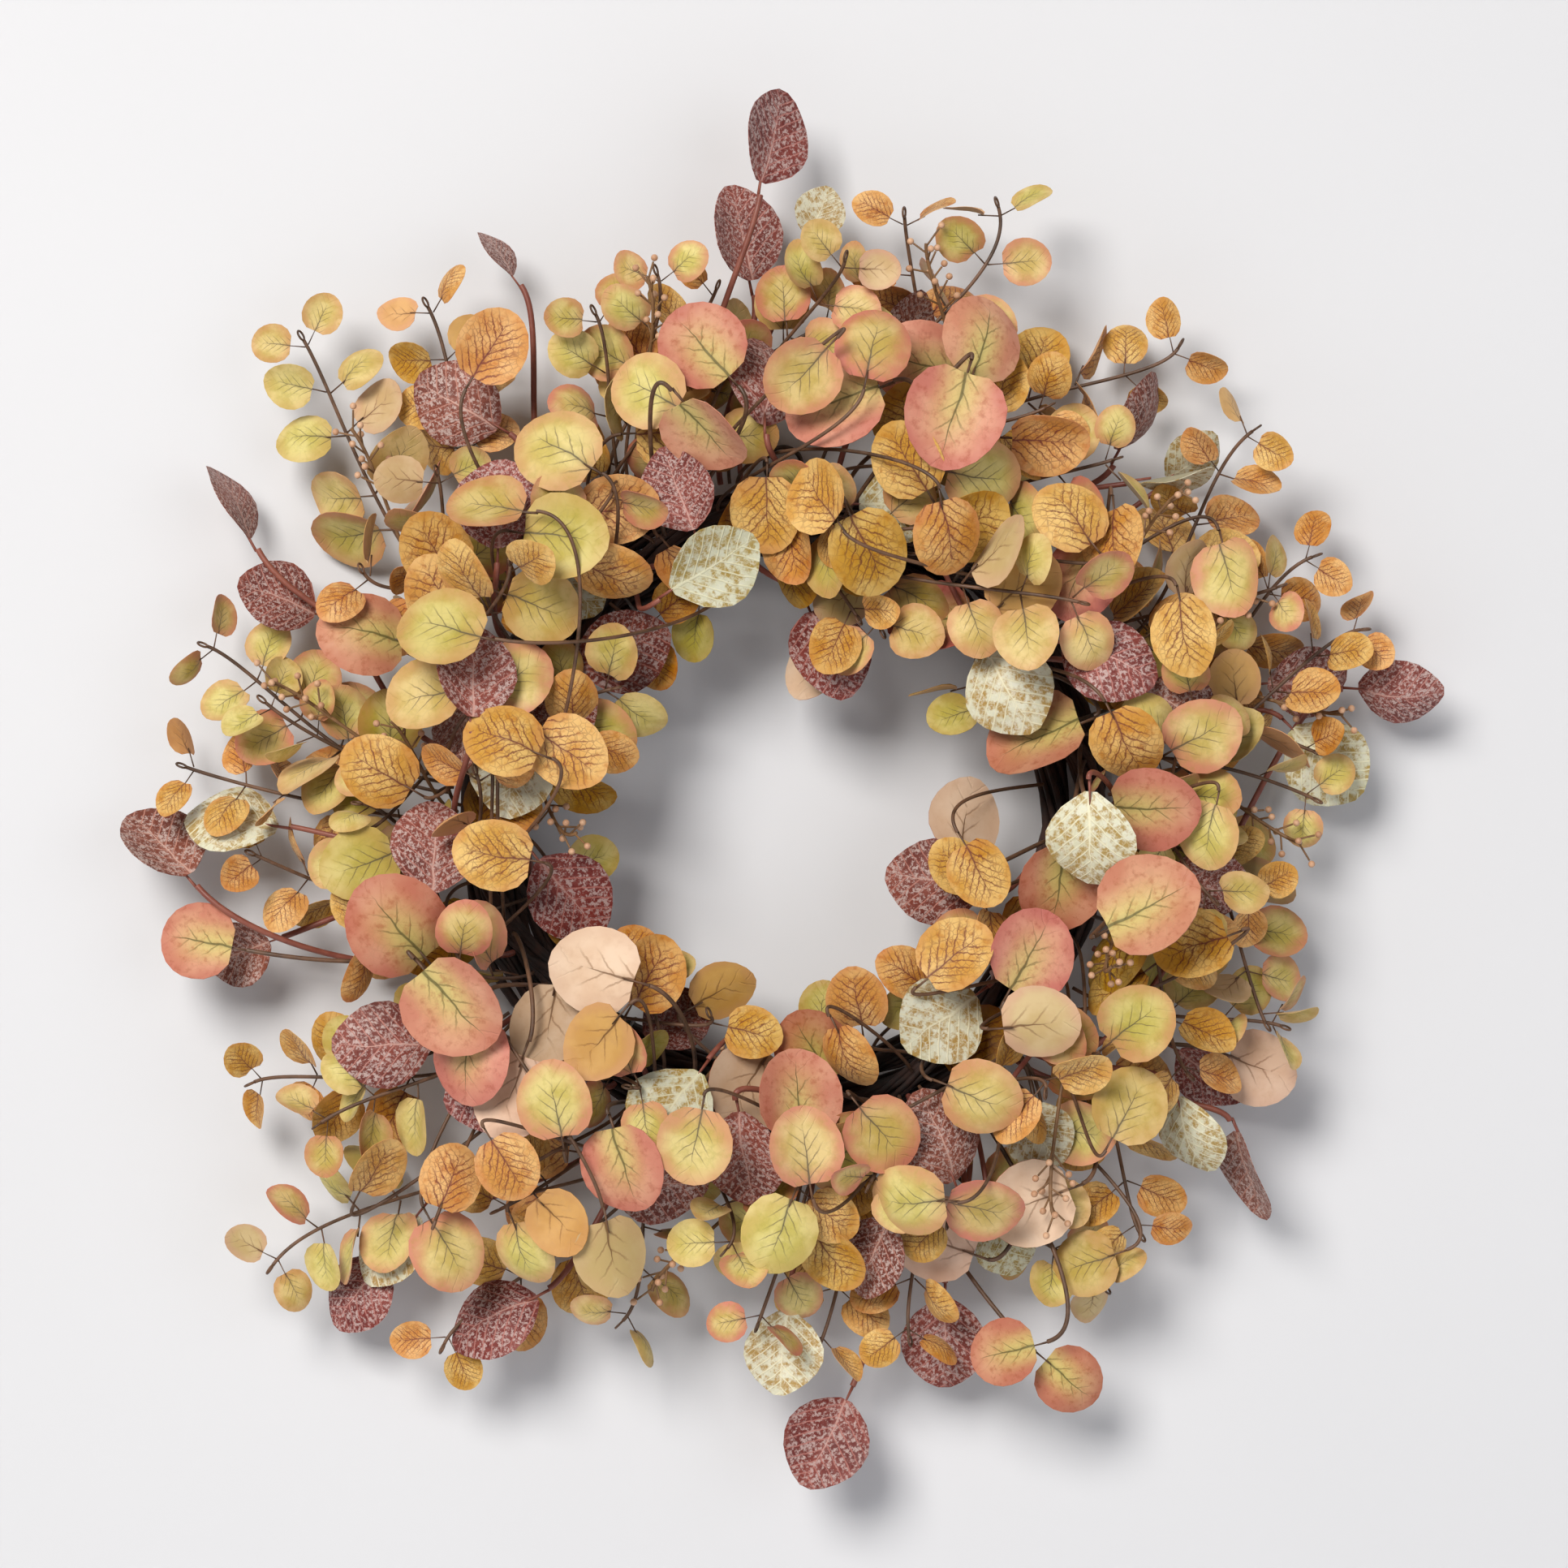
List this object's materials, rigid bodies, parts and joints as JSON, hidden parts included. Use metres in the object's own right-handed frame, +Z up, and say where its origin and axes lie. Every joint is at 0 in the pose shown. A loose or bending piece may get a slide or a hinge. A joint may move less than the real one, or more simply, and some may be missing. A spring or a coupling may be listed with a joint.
{
  "type": "harvest door wreath",
  "caption": "Round artificial eucalyptus door wreath in autumn gold, green, coral, burgundy and sage leaves on a dark twig ring with a wire hanging loop.",
  "frame": {"origin": "the point where the hanging loop bears on its nail, in the plane of the loop", "axes": "+Z up along the wall, +Y into the wall, the face of the wreath looks along -Y, +X to the viewer's right"},
  "size_m": [0.656, 0.1396, 0.6931],
  "materials": {
    "twig_base": "matte bark",
    "binding_wire": "matte brown lacquer",
    "brown_stem": "matte moulded",
    "burgundy_stem": "matte moulded",
    "seed_stem": "matte moulded",
    "seed_bead": "satin moulded",
    "yellow_green_leaf": "printed polyester",
    "gold_leaf": "printed polyester",
    "coral_leaf": "printed polyester",
    "burgundy_leaf": "printed and frosted polyester",
    "sage_leaf": "printed polyester"
  },
  "bodies": {
    "root": {"burgundy_spray_1_leaves": "burgundy_leaf", "burgundy_spray_1_stems": "burgundy_stem", "burgundy_spray_2_leaves": "burgundy_leaf", "burgundy_spray_2_stems": "burgundy_stem", "burgundy_spray_3_leaves": "burgundy_leaf", "burgundy_spray_3_stems": "burgundy_stem", "burgundy_spray_4_leaves": "burgundy_leaf", "burgundy_spray_4_stems": "burgundy_stem", "coral_spray_1_leaves": "coral_leaf", "coral_spray_1_stems": "brown_stem", "coral_spray_2_leaves": "coral_leaf", "coral_spray_2_stems": "brown_stem", "coral_spray_3_leaves": "coral_leaf", "coral_spray_3_stems": "brown_stem", "coral_spray_4_leaves": "coral_leaf", "coral_spray_4_stems": "brown_stem", "gold_spray_1_leaves": "gold_leaf", "gold_spray_1_stems": "brown_stem", "gold_spray_2_leaves": "gold_leaf", "gold_spray_2_stems": "brown_stem", "gold_spray_3_leaves": "gold_leaf", "gold_spray_3_stems": "brown_stem", "gold_spray_4_leaves": "gold_leaf", "gold_spray_4_stems": "brown_stem", "gold_spray_5_leaves": "gold_leaf", "gold_spray_5_stems": "brown_stem", "green_spray_1_leaves": "yellow_green_leaf", "green_spray_1_stems": "brown_stem", "green_spray_2_leaves": "yellow_green_leaf", "green_spray_2_stems": "brown_stem", "green_spray_3_leaves": "yellow_green_leaf", "green_spray_3_stems": "brown_stem", "green_spray_4_leaves": "yellow_green_leaf", "green_spray_4_stems": "brown_stem", "green_spray_5_leaves": "yellow_green_leaf", "green_spray_5_stems": "brown_stem", "green_spray_6_leaves": "yellow_green_leaf", "green_spray_6_stems": "brown_stem", "hanging_loop": "binding_wire", "sage_spray_1_leaves": "sage_leaf", "sage_spray_1_stems": "burgundy_stem", "sage_spray_2_leaves": "sage_leaf", "sage_spray_2_stems": "burgundy_stem", "sage_spray_3_leaves": "sage_leaf", "sage_spray_3_stems": "burgundy_stem", "seed_spray_1_beads": "seed_bead", "seed_spray_1_stems": "seed_stem", "seed_spray_2_beads": "seed_bead", "seed_spray_2_stems": "seed_stem", "seed_spray_3_beads": "seed_bead", "seed_spray_3_stems": "seed_stem", "seed_spray_4_beads": "seed_bead", "seed_spray_4_stems": "seed_stem", "seed_spray_5_beads": "seed_bead", "seed_spray_5_stems": "seed_stem", "twig_strand_1": "twig_base", "twig_strand_2": "twig_base", "twig_strand_3": "twig_base", "twig_strand_4": "twig_base", "wire_ties": "binding_wire"}
  },
  "joints": []
}
